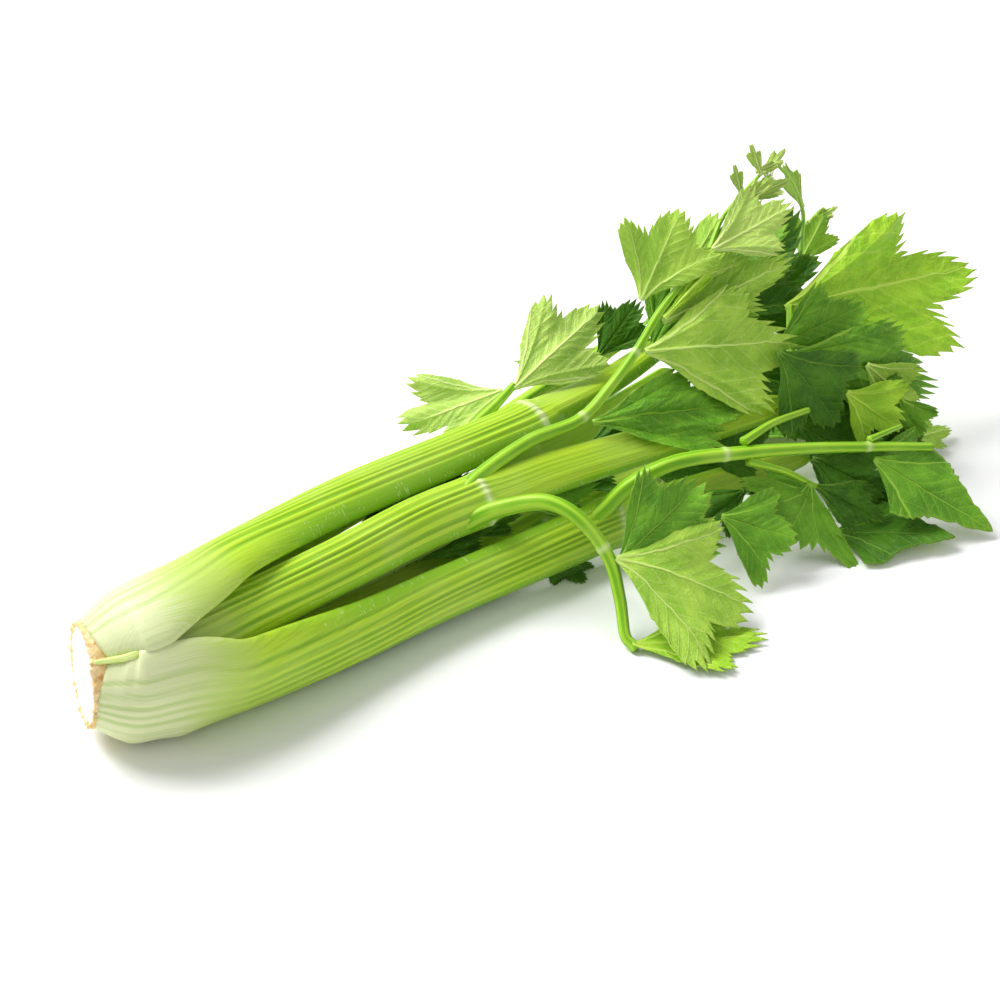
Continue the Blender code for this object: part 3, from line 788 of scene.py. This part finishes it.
def leaf(
    name, node, base, tip, face, width, finishes, cup=0, arch=0, teeth=19, cuts=0.06,
    depth=0.12, wave=1.0, outline=FAN,
):
    """A leaflet from its base to its tip, with its first finish on the side that looks towards face.

    width is a share of its length. cup curls its halves towards their edges, and arch bows the
    midrib. cuts is how deep the cuts between the lobes are, depth the teeth, and wave how much the
    blade ripples."""
    base, tip, face = (np.array(point, float) for point in (base, tip, face))
    length = np.linalg.norm(tip - base)
    wide = width * length
    ahead = unit(tip - base)
    normal = unit(face - ahead * np.dot(face, ahead))
    aside = np.cross(ahead, normal)
    shows_upper = finishes[0] in (leaf_upper, leaf_upper_painted_shade)
    upper = -1.0 if shows_upper else 1.0
    phase = sum(map(ord, name)) * 0.37  # so that no two leaves ripple alike

    def bend(u, v):
        line = 2 * u - 1
        size = np.abs(line)
        reach = np.interp(size, FAN_LINES, outline) * (1 + 0.09 * np.sin(2.4 * line) * np.sin(phase))
        vein = np.rint(line * LOBES) / LOBES
        lobe = np.abs(line - vein) * LOBES * 2  # 0 on a main vein and 1 between two
        cut = cuts * ease(lobe, 0.6, 1) ** 1.5 * (1 - ease(size, 0.7, 0.9))
        cut = cut * (1 + 0.35 * np.sin(7 * line + phase))
        tooth = np.abs(2 * ((u * teeth) % 1) - 1)
        deep = depth * (0.8 + 0.35 * np.sin(9 * line + 2 * phase)) * (0.55 + 0.45 * reach)
        nick = deep * (1 - tooth) ** 1.25 - 0.12 * depth * tooth**9
        nick = nick * (1 - 0.6 * ease(size, 0.9, 1))
        out = reach * (1 - cut - nick) * v
        toward = np.sign(vein - line) * np.clip(lobe * 3, 0, 1)
        leaned = line + TOOTH_LEAN * toward * (tooth - 0.3) * v**5
        turn = np.radians(leaned * FAN_ANGLE * (BASE_FAN_SHARE + (1 - BASE_FAN_SHARE) * out))
        across = np.sin(turn) * out * wide / FAN_WIDTH
        along = np.cos(turn) * out * length
        blade = np.stack([across / length, along / length, 0 * out], axis=1)
        across = across + line * 1.1 * np.exp(-out * 9)

        share = along / length
        bow = 4 * share * (1 - share) * length
        slope = np.arctan(4 * (1 - 2 * share) * arch)
        lift = np.radians(cup * np.abs(across) / wide)
        side = across * np.cos(lift)
        rise = np.abs(across) * np.sin(lift)

        # The surface: pleats between the main veins, quilted panels between the side veins, ripples.
        grown = ease(out, 0.05, 0.5)
        near_vein = np.abs(line - vein) * np.radians(FAN_ANGLE) * out
        pleat = upper * -0.1 * length * near_vein * (1 - ease(out, 0.75, 1) * 0.4)
        panel = out * SIDE_VEINS - near_vein * SIDE_SLANT
        quilt = -upper * 0.008 * length * np.abs(np.sin(math.pi * panel)) * grown * ease(near_vein, 0, 0.05)
        rib = upper * 0.35 * np.exp(-((near_vein * length / 0.7) ** 2)) * (1 - out)
        stem = 1.0 * np.exp(-out * 7) * np.exp(-((line * 1.2) ** 2))
        ripple = (
            0.022 * np.sin(3.1 * line + 4.5 * out + phase)
            + 0.02 * np.sin(6.3 * line - 3 * out + 1.7 * phase) * out
            + 0.016 * np.sin(12.5 * line + 5 * out + 2.3 * phase) * out**2
            + 0.012 * np.sin(21 * line + 8 * out + 0.9 * phase) * out**3
        )
        up = rise * np.cos(slope) + arch * bow + pleat + quilt + rib + stem + wave * ripple * length * grown
        forth = along - rise * np.sin(slope)
        points = base + side[:, None] * aside + forth[:, None] * ahead + up[:, None] * normal
        points[:, 2] = np.maximum(points[:, 2], 0.35 * BLADE_THICKNESS)
        return points, {"blade": blade, "rim": v}

    columns = teeth * TOOTH_COLUMNS
    mesh = bent_grid(name, columns, LEAF_ROWS, bend, closed=False)
    obj = placed(name, mesh, finishes, node)
    thickness = obj.modifiers.new("Thickness", "SOLIDIFY")
    thickness.thickness = BLADE_THICKNESS * MM
    thickness.offset = 0
    thickness.material_offset = 1
    return obj


def vein_lines(tree, blade):
    """How much of a vein each point of a blade is: a main vein, a side vein, the fine net between."""
    bent = add_node(tree, "ShaderNodeTexNoise", {"Vector": blade, "Scale": 5.0, "Detail": 2.0}).outputs[1]
    inputs = {0: bent, 1: (VEIN_BEND,) * 3, 2: blade}
    bent = add_node(tree, "ShaderNodeVectorMath", inputs, operation="MULTIPLY_ADD").outputs[0]
    bent = add_node(tree, "ShaderNodeVectorMath", {0: bent, 1: (-VEIN_BEND / 2,) * 3}).outputs[0]
    x, y, _ = add_node(tree, "ShaderNodeSeparateXYZ", {0: bent}).outputs
    out = sum_of(tree, "SQRT", sum_of(tree, "MULTIPLY_ADD", x, x, sum_of(tree, "MULTIPLY", y, y)))
    angle = sum_of(tree, "ARCTAN2", x, y)
    spread = sum_of(tree, "MULTIPLY_ADD", out, 1 - BASE_FAN_SHARE, BASE_FAN_SHARE)
    line = sum_of(tree, "DIVIDE", angle, sum_of(tree, "MULTIPLY", spread, math.radians(FAN_ANGLE)))
    nearest = sum_of(tree, "PINGPONG", sum_of(tree, "MULTIPLY", line, LOBES), 0.5)
    near = sum_of(tree, "MULTIPLY", nearest, math.radians(FAN_ANGLE) / LOBES)
    near = sum_of(tree, "MULTIPLY", near, out)
    main_width = eased(tree, out, 0, 1, 0.02, 0.006)
    main = sum_of(tree, "SUBTRACT", 1, eased(tree, sum_of(tree, "DIVIDE", near, main_width), 0.35, 1))
    panel = sum_of(tree, "MULTIPLY_ADD", near, -SIDE_SLANT, sum_of(tree, "MULTIPLY", out, SIDE_VEINS))
    side = sum_of(tree, "PINGPONG", panel, 0.5)
    side = sum_of(tree, "SUBTRACT", 1, eased(tree, side, 0.02, 0.11))
    net = add_node(
        tree,
        "ShaderNodeTexVoronoi",
        {"Vector": blade, "Scale": NET_SCALE, "Randomness": 1.0},
        feature="DISTANCE_TO_EDGE",
    ).outputs[0]
    net = sum_of(tree, "SUBTRACT", 1, eased(tree, net, 0.0, 0.12))
    return main, side, net


def leaf_finish(name, deep, fresh, vein, rim, raised, gloss, translucent):
    """One side of a leaf. raised is 1 where its veins stand up, and -1 where they lie sunk in it."""

    def paint(tree):
        blade = attribute(tree, "blade", "Vector")
        main, side, net = vein_lines(tree, blade)
        place = own_place(tree)
        cloud = grain(tree, place, 85, 4)
        fleck = grain(tree, place, 700, 4)
        green = blended(tree, eased(tree, cloud, 0.32, 0.68), deep, fresh)
        green = blended(tree, eased(tree, fleck, 0.5, 0.75, 0, 0.35), green, deep)
        lines = sum_of(tree, "MAXIMUM", main, sum_of(tree, "MULTIPLY", side, 0.4))
        lines = sum_of(tree, "MAXIMUM", lines, sum_of(tree, "MULTIPLY", net, 0.3))
        colour = blended(tree, lines, green, vein)
        edge = eased(tree, attribute(tree, "rim"), 0.93, 1, 0, 0.45)
        colour = blended(tree, edge, colour, rim)
        height = sum_of(tree, "MULTIPLY", lines, raised)
        height = sum_of(tree, "ADD", height, sum_of(tree, "MULTIPLY", fleck, 0.5))
        return {
            "Base_Color": colour,
            "Roughness": eased(tree, fleck, 0.3, 0.75, gloss, gloss + 0.16),
            "Normal": relief(tree, height, 0.0008, 0.7),
        }

    return finish(
        name,
        paint,
        Specular_IOR_Level=0.22,
        Subsurface_Weight=translucent,
        Subsurface_Radius=(0.6, 1, 0.15),
        Subsurface_Scale=0.0012,
    )


# Each finish has its deep and its fresh green, and the colours of its veins and its rim.
leaf_upper = leaf_finish(
    "leaf_upper", (0.085, 0.26, 0.01), (0.16, 0.4, 0.018), (0.27, 0.5, 0.05), (0.33, 0.54, 0.05),
    raised=-1, gloss=0.34, translucent=0.15,
)
# The upper side brightened with painted light, as where light shines through a leaf from behind.
leaf_upper_painted_light = leaf_finish(
    "leaf_upper_painted_light", (0.27, 0.55, 0.02), (0.42, 0.7, 0.035), (0.54, 0.76, 0.1), (0.46, 0.66, 0.06),
    raised=-1, gloss=0.34, translucent=0.18,
)
# The upper side darkened with painted shade, for leaves that lie in the shade of the head.
leaf_upper_painted_shade = leaf_finish(
    "leaf_upper_painted_shade", (0.035, 0.13, 0.004), (0.075, 0.23, 0.007), (0.14, 0.3, 0.03), (0.18, 0.32, 0.03),
    raised=-1, gloss=0.3, translucent=0.1,
)
leaf_under = leaf_finish(
    "leaf_under", (0.26, 0.49, 0.035), (0.42, 0.65, 0.07), (0.56, 0.74, 0.18), (0.44, 0.64, 0.08),
    raised=1, gloss=0.45, translucent=0.2,
)
leaf_young = leaf_finish(
    "leaf_young", (0.4, 0.6, 0.1), (0.54, 0.74, 0.15), (0.66, 0.8, 0.28), (0.56, 0.72, 0.14),
    raised=1, gloss=0.42, translucent=0.2,
)

UPPER = (leaf_upper, leaf_under)
# Painted light: the upper side made brighter.
PAINTED_LIGHT_UPPER = (leaf_upper_painted_light, leaf_under)
# Painted shade: the upper side made darker.
PAINTED_SHADE_UPPER = (leaf_upper_painted_shade, leaf_under)
UNDER = (leaf_under, leaf_upper)
YOUNG = (leaf_young, leaf_upper)
VIEWER = (-0.5, -0.65, 0.55)  # up and to the front, towards the cut end
TILTED = (-0.25, -0.75, 0.6)

# The spray on the drooping branch, at the front, whose end has come to rest on the surface.
for name, node, base, tip, face, width, finishes, more in [
    (
        "blade_front_large", "leaf_front_large", (205.8, -64, 29.9), (248.2, -103.5, 10),
        (-0.12, -0.45, 0.88), 1.2, UNDER, {"arch": 0.06, "teeth": 25, "cuts": 0.1},
    ),
    (
        "blade_front_upper", "leaf_front_upper", (208.4, -64.1, 28.3), (256.8, -60, 46.7),
        (-0.35, -0.75, 0.55), 0.95, UPPER, {"arch": 0.05},
    ),
    (
        "blade_low_front", "leaf_low_front", (264, -64, 27), (287.3, -86.6, 17.5), (-0.3, -0.6, 0.75),
        1.35, UPPER, {"cup": -20},
    ),
    (
        "blade_floor_front", "leaf_floor_front", (196.7, -86.4, 3.8), (245.2, -115.2, 2.6), (0, 0, 1),
        0.85, PAINTED_LIGHT_UPPER, {"cup": 10, "wave": 0.5},
    ),
    (
        "blade_floor_under", "leaf_floor_under", (211, -15, 0.8), (212, -38, 0.8), (0, 0, 1),
        1, PAINTED_SHADE_UPPER, {"wave": 0.3},
    ),
    # The leaves of the front branch. The one at its end curls into a long point.
    (
        "blade_side_left", "leaf_side_left", (310.5, -69.5, 25), (286.4, -79, 13.2), TILTED,
        2.3, UPPER, {"arch": 0.05, "cuts": 0.03},
    ),
    (
        "blade_side_right", "leaf_side_right", (312.1, -69.7, 26.4), (338.3, -87.9, 6.3), (-0.1, -0.9, 0.4),
        0.65, PAINTED_SHADE_UPPER, {},
    ),
    (
        "blade_branch_end", "leaf_branch_end", (340, -77, 32.5), (373.5, -119.7, 2.6), (-0.25, -0.45, 0.85),
        1.15, UPPER, {"cup": -16, "wave": 0.6, "cuts": 0, "depth": 0.03, "outline": KITE},
    ),
    (
        "blade_floor_right", "leaf_floor_right", (319.8, -76.5, 2.6), (354.1, -115.6, 7), (0, -0.1, 1),
        1.6, PAINTED_SHADE_UPPER, {"wave": 0.5, "cuts": 0, "depth": 0.02, "outline": KITE},
    ),
    (
        "blade_twig_end", "leaf_twig_end", (358.2, -61.5, 21.3), (391.6, -64.8, 4), (-0.2, -0.9, 0.4),
        0.9, UPPER, {},
    ),
    (
        "blade_under_twig", "leaf_under_twig", (327.2, -28.1, 68.1), (349.6, -45.6, 30), TILTED,
        1.1, PAINTED_SHADE_UPPER, {"arch": 0.05},
    ),
    (
        "blade_low_right", "leaf_low_right", (388, -52, 12), (421, -50, 4), (-0.1, -0.4, 0.9),
        0.6, UNDER, {"wave": 0.4},
    ),
    # The leaves at the ends of the middle and the top stalk.
    (
        "blade_middle_lower", "leaf_middle_lower", (338.1, -23.3, 60.6), (412.2, -48.5, 30.4), TILTED,
        0.6, UPPER, {"arch": 0.05, "teeth": 23},
    ),
    (
        "blade_middle_small", "leaf_middle_small", (339, -15.4, 61.1), (384.3, -25.8, 72),
        (-0.4, -0.7, 0.5), 0.85, UPPER, {},
    ),
    (
        "blade_middle_large", "leaf_middle_large", (353.5, -3.6, 69.8), (457.4, -22.9, 65.8), TILTED,
        0.66, PAINTED_LIGHT_UPPER, {"arch": 0.05, "teeth": 27, "cuts": 0.1},
    ),
    (
        "blade_high_back", "leaf_high_back", (402.3, 36.3, 60.6), (411.8, 31.3, 85), VIEWER,
        0.9, UNDER, {},
    ),
    (
        "blade_high_dark", "leaf_high_dark", (347.8, 16.5, 56), (384.6, 22.8, 100.2), VIEWER,
        0.75, PAINTED_SHADE_UPPER, {},
    ),
    # The leaves of the rising branch, most of which show their undersides.
    (
        "blade_rising_left", "leaf_rising_left", (280.7, 9.9, 92.4), (303.2, 11.1, 128.5), VIEWER,
        1.1, UNDER, {"teeth": 23},
    ),
    (
        "blade_rising_right", "leaf_rising_right", (272, -3, 76), (340.7, -27.9, 68.8), (-0.25, -0.8, 0.53),
        0.8, UNDER, {"arch": 0.05, "teeth": 23},
    ),
    (
        "blade_rising_low", "leaf_rising_low", (239, -9, 56), (311.3, -29, 49), (-0.2, -0.62, 0.75),
        0.55, UPPER, {"cuts": 0.02},
    ),
    (
        "blade_rising_long", "leaf_rising_long", (285.7, 1.5, 83.6), (354.4, -7.4, 95), VIEWER,
        0.5, UNDER, {"teeth": 21},
    ),
    (
        "blade_rising_small", "leaf_rising_small", (285.1, -0.3, 86.5), (315.1, -4.7, 110.3), VIEWER,
        0.2, PAINTED_LIGHT_UPPER, {"cuts": 0, "depth": 0.02, "teeth": 7},
    ),
    (
        "blade_rising_end", "leaf_rising_end", (314, 2.8, 108.6), (353.1, -5.7, 121.3), VIEWER,
        0.8, YOUNG, {},
    ),
    ("blade_young_1", "leaf_young_1", (350, 12.6, 130), (344, 14, 146), VIEWER, 0.4, YOUNG, {"teeth": 7}),
    ("blade_young_2", "leaf_young_2", (350.5, 12, 129.4), (366, 14, 137), VIEWER, 0.4, YOUNG, {"teeth": 7}),
    ("blade_young_3", "leaf_young_3", (338, 11.6, 124), (335, 14, 139), VIEWER, 0.4, YOUNG, {"teeth": 7}),
    ("blade_young_4", "leaf_young_4", (387.5, 23, 99), (378, 27, 122), VIEWER, 0.4, YOUNG, {"teeth": 9}),
    # The leaves behind the top stalk.
    (
        "blade_back_high", "leaf_back_high", (233.2, 37, 53), (288, 41.8, 73.8), (-0.3, -0.6, 0.74),
        0.75, YOUNG, {},
    ),
    ("blade_back_dark", "leaf_back_dark", (283.7, 40.5, 50), (307.8, 41, 71), VIEWER, 0.9, PAINTED_SHADE_UPPER, {}),
    (
        "blade_back_turned", "leaf_back_turned", (229, 40, 52), (183.9, 54.9, 43), (-0.2, -0.5, 0.8),
        0.8, YOUNG, {"cuts": 0.2},
    ),
    # The crumpled young leaves of the heart, which fill the dark gaps between the stalks, in the upper
    # finish with painted shade.
    ("blade_heart_1", "leaf_heart_1", (168, -9, 28), (200, -13, 30), VIEWER, 0.45, PAINTED_SHADE_UPPER, {"wave": 2.5}),
    ("blade_heart_2", "leaf_heart_2", (250, 6, 33), (285, 2, 37), VIEWER, 0.6, PAINTED_SHADE_UPPER, {"wave": 2.5}),
    ("blade_heart_3", "leaf_heart_3", (232, 8, 20), (266, -2, 24), VIEWER, 0.6, PAINTED_SHADE_UPPER, {"wave": 2.5}),
    # The leaves at the ends of the rear, back, under and front stalks.
    ("blade_rear_end", "leaf_rear_end", (345, 58, 14), (410, 66, 16), (0, 0.2, 1), 0.8, UPPER, {}),
    ("blade_back_end", "leaf_back_end", (325, 60, 42), (392, 62, 50), (-0.2, 0.5, 0.8), 0.8, UPPER, {}),
    ("blade_back_side", "leaf_back_side", (270, 60, 37), (300, 92, 32), (-0.2, 0.3, 0.9), 0.9, UPPER, {}),
    (
        "blade_under_end", "leaf_under_end", (325, 8, 8.5), (388, 2, 9), (0, -0.1, 1),
        0.7, UPPER, {"wave": 0.6},
    ),
    ("blade_front_end", "leaf_front_end", (345, -38, 15), (400, -42, 12), (0, -0.3, 1), 0.7, UPPER, {}),
]:
    leaf(name, node, base, tip, face, width, finishes, **more)

# Smaller leaves with no solid of their own. They close up the dark middle of the spray and the gaps
# between the stalks, most of them in the upper finish with painted shade, and crowd the ends of the young
# twigs.
for name, base, tip, width, finishes in [
    ("blade_inner_1", (370.6, -39.6, 51.5), (389.2, -56.1, 28.8), 0.9, UNDER),
    ("blade_inner_2", (336.1, -35.7, 31.1), (363.8, -57.6, 6.8), 1, PAINTED_SHADE_UPPER),
    ("blade_inner_3", (324.8, -55.2, 27.9), (353.5, -75.2, 7.1), 0.9, PAINTED_SHADE_UPPER),
    ("blade_inner_4", (357.6, -56.1, 19.9), (390.4, -67.2, 3), 1, PAINTED_SHADE_UPPER),
    ("blade_inner_5", (342.4, -60.2, 9.1), (356.9, -85, 3), 1.2, PAINTED_SHADE_UPPER),
    ("blade_inner_6", (335.6, -4.3, 43.8), (346.4, -33.7, 18.5), 1.2, PAINTED_SHADE_UPPER),
    ("blade_inner_7", (344.6, -29.3, 43.9), (382.1, -56, 20), 0.9, PAINTED_SHADE_UPPER),
    ("blade_inner_8", (342.5, 12.6, 62.5), (380.7, 9.2, 67.5), 1.1, PAINTED_SHADE_UPPER),
    ("blade_inner_9", (339.6, 6.4, 56.5), (343.8, -23.3, 22.8), 1.1, PAINTED_SHADE_UPPER),
    ("blade_inner_10", (330.1, 11.1, 66.3), (372.2, 12.5, 87.1), 0.9, PAINTED_SHADE_UPPER),
    ("blade_inner_11", (325.7, 16.3, 78.7), (369.8, 15, 99.8), 0.7, UPPER),
    ("blade_inner_12", (298.4, 9.8, 88.5), (327.3, 11.8, 119), 0.8, UNDER),
    ("blade_inner_13", (266.8, -15.4, 24.5), (300.1, -29.1, 20.5), 1, PAINTED_SHADE_UPPER),
    ("blade_inner_14", (199.7, -9.7, 29), (238.6, -15.3, 30.4), 0.7, UPPER),
    ("blade_inner_16", (354.6, -44.1, 45.1), (374.4, -60.9, 26.2), 1.1, PAINTED_LIGHT_UPPER),
    ("blade_inner_17", (381, -50.9, 35.6), (385.7, -63.1, 18.9), 1.1, UPPER),
    ("blade_inner_18", (284.6, -27.5, 29.8), (319, -33.4, 31.8), 1, PAINTED_SHADE_UPPER),
    ("blade_inner_20", (308.9, -64.8, 23.6), (279.6, -65.7, 15.6), 1.2, PAINTED_SHADE_UPPER),
    ("blade_inner_21", (112, 6, 29), (166, 8, 33), 0.42, PAINTED_SHADE_UPPER),
    ("blade_inner_22", (148, 8, 32), (206, 8, 33.5), 0.4, PAINTED_SHADE_UPPER),
    ("blade_inner_23", (192, 7, 36), (116, 6, 33), 0.45, PAINTED_SHADE_UPPER),
    ("blade_inner_24", (322.5, -59.3, 17), (297, -44, 13), 0.9, UPPER),
    ("blade_inner_25", (309.3, -70.5, 28.6), (294, -75, 8.6), 1.5, UPPER),
    ("blade_inner_26", (285.8, -55, 26.8), (263, -53, 17), 0.9, PAINTED_SHADE_UPPER),
    ("blade_inner_19", (286.4, 8.1, 67.7), (315.1, 11.2, 100.9), 0.8, UPPER),
    ("blade_inner_15", (148.1, -5.4, 22), (190.8, -10.9, 29.7), 0.45, PAINTED_SHADE_UPPER),
    ("blade_young_5", (337.4, 10.3, 122.3), (359.4, 2.3, 129.3), 0.4, YOUNG),
    ("blade_young_6", (332.2, 8.2, 118), (353.2, 7.9, 132.8), 0.3, YOUNG),
    ("blade_young_7", (406.3, 38.1, 78.4), (418.2, 30.2, 87.1), 0.4, YOUNG),
    ("blade_young_8", (348.6, 14.3, 130.8), (356.1, 5.8, 137.5), 0.3, YOUNG),
]:
    leaf(name, None, base, tip, VIEWER, width, finishes, wave=1.6)

# ---------------------------------------------------------------------------------------------------
# The surface under the head, a large soft lamp behind and above it, a weaker one at the front, and the
# camera that looks at the head from its front, above the cut end.
# ---------------------------------------------------------------------------------------------------
FLOOR_SIDE = 8
BACK_POWER = 44
FRONT_POWER = 3
SURROUND = 0.52
LENS = 90
SENSOR = 36
TARGET = Vector((-0.0291, 0.0131, 0.0296))
CAMERA_PLACE = Vector((-0.5713, -0.6808, 0.6015))


def paint_floor(tree):
    cloud = grain(tree, own_place(tree), 3, 2)
    return {"Base_Color": blended(tree, eased(tree, cloud, 0.3, 0.7), (0.9,) * 3, (0.92,) * 3)}


shape = bmesh.new()
bmesh.ops.create_grid(shape, x_segments=4, y_segments=4, size=FLOOR_SIDE / 2)
mesh = bpy.data.meshes.new("floor")
shape.to_mesh(mesh)
shape.free()
mesh.materials.append(finish("floor_white", paint_floor, Roughness=0.7))
floor = bpy.data.objects.new("floor", mesh)
bpy.context.scene.collection.objects.link(floor)


def lamp(name, place, side, power):
    data = bpy.data.lights.new(name, "AREA")
    data.shape = "SQUARE"
    data.size = side
    data.energy = power
    obj = bpy.data.objects.new(name, data)
    obj.location = place
    obj.rotation_euler = (TARGET - Vector(place)).to_track_quat("-Z", "Y").to_euler()
    bpy.context.scene.collection.objects.link(obj)


lamp("lamp_back", (-0.5, 1.0, 1.4), 1.1, BACK_POWER)
lamp("lamp_front", (0.4, -1.4, 1.1), 1.2, FRONT_POWER)

world = bpy.data.worlds.new("studio")
world.use_nodes = True
world.node_tree.nodes["Background"].inputs[0].default_value = (1, 1, 1, 1)
world.node_tree.nodes["Background"].inputs[1].default_value = SURROUND
bpy.context.scene.world = world
bpy.context.scene.view_settings.view_transform = "Standard"

camera_data = bpy.data.cameras.new("camera")
camera_data.lens = LENS
camera_data.sensor_width = SENSOR
camera = bpy.data.objects.new("camera", camera_data)
camera.location = CAMERA_PLACE
camera.rotation_euler = (TARGET - CAMERA_PLACE).to_track_quat("-Z", "Y").to_euler()
bpy.context.scene.collection.objects.link(camera)
bpy.context.scene.camera = camera
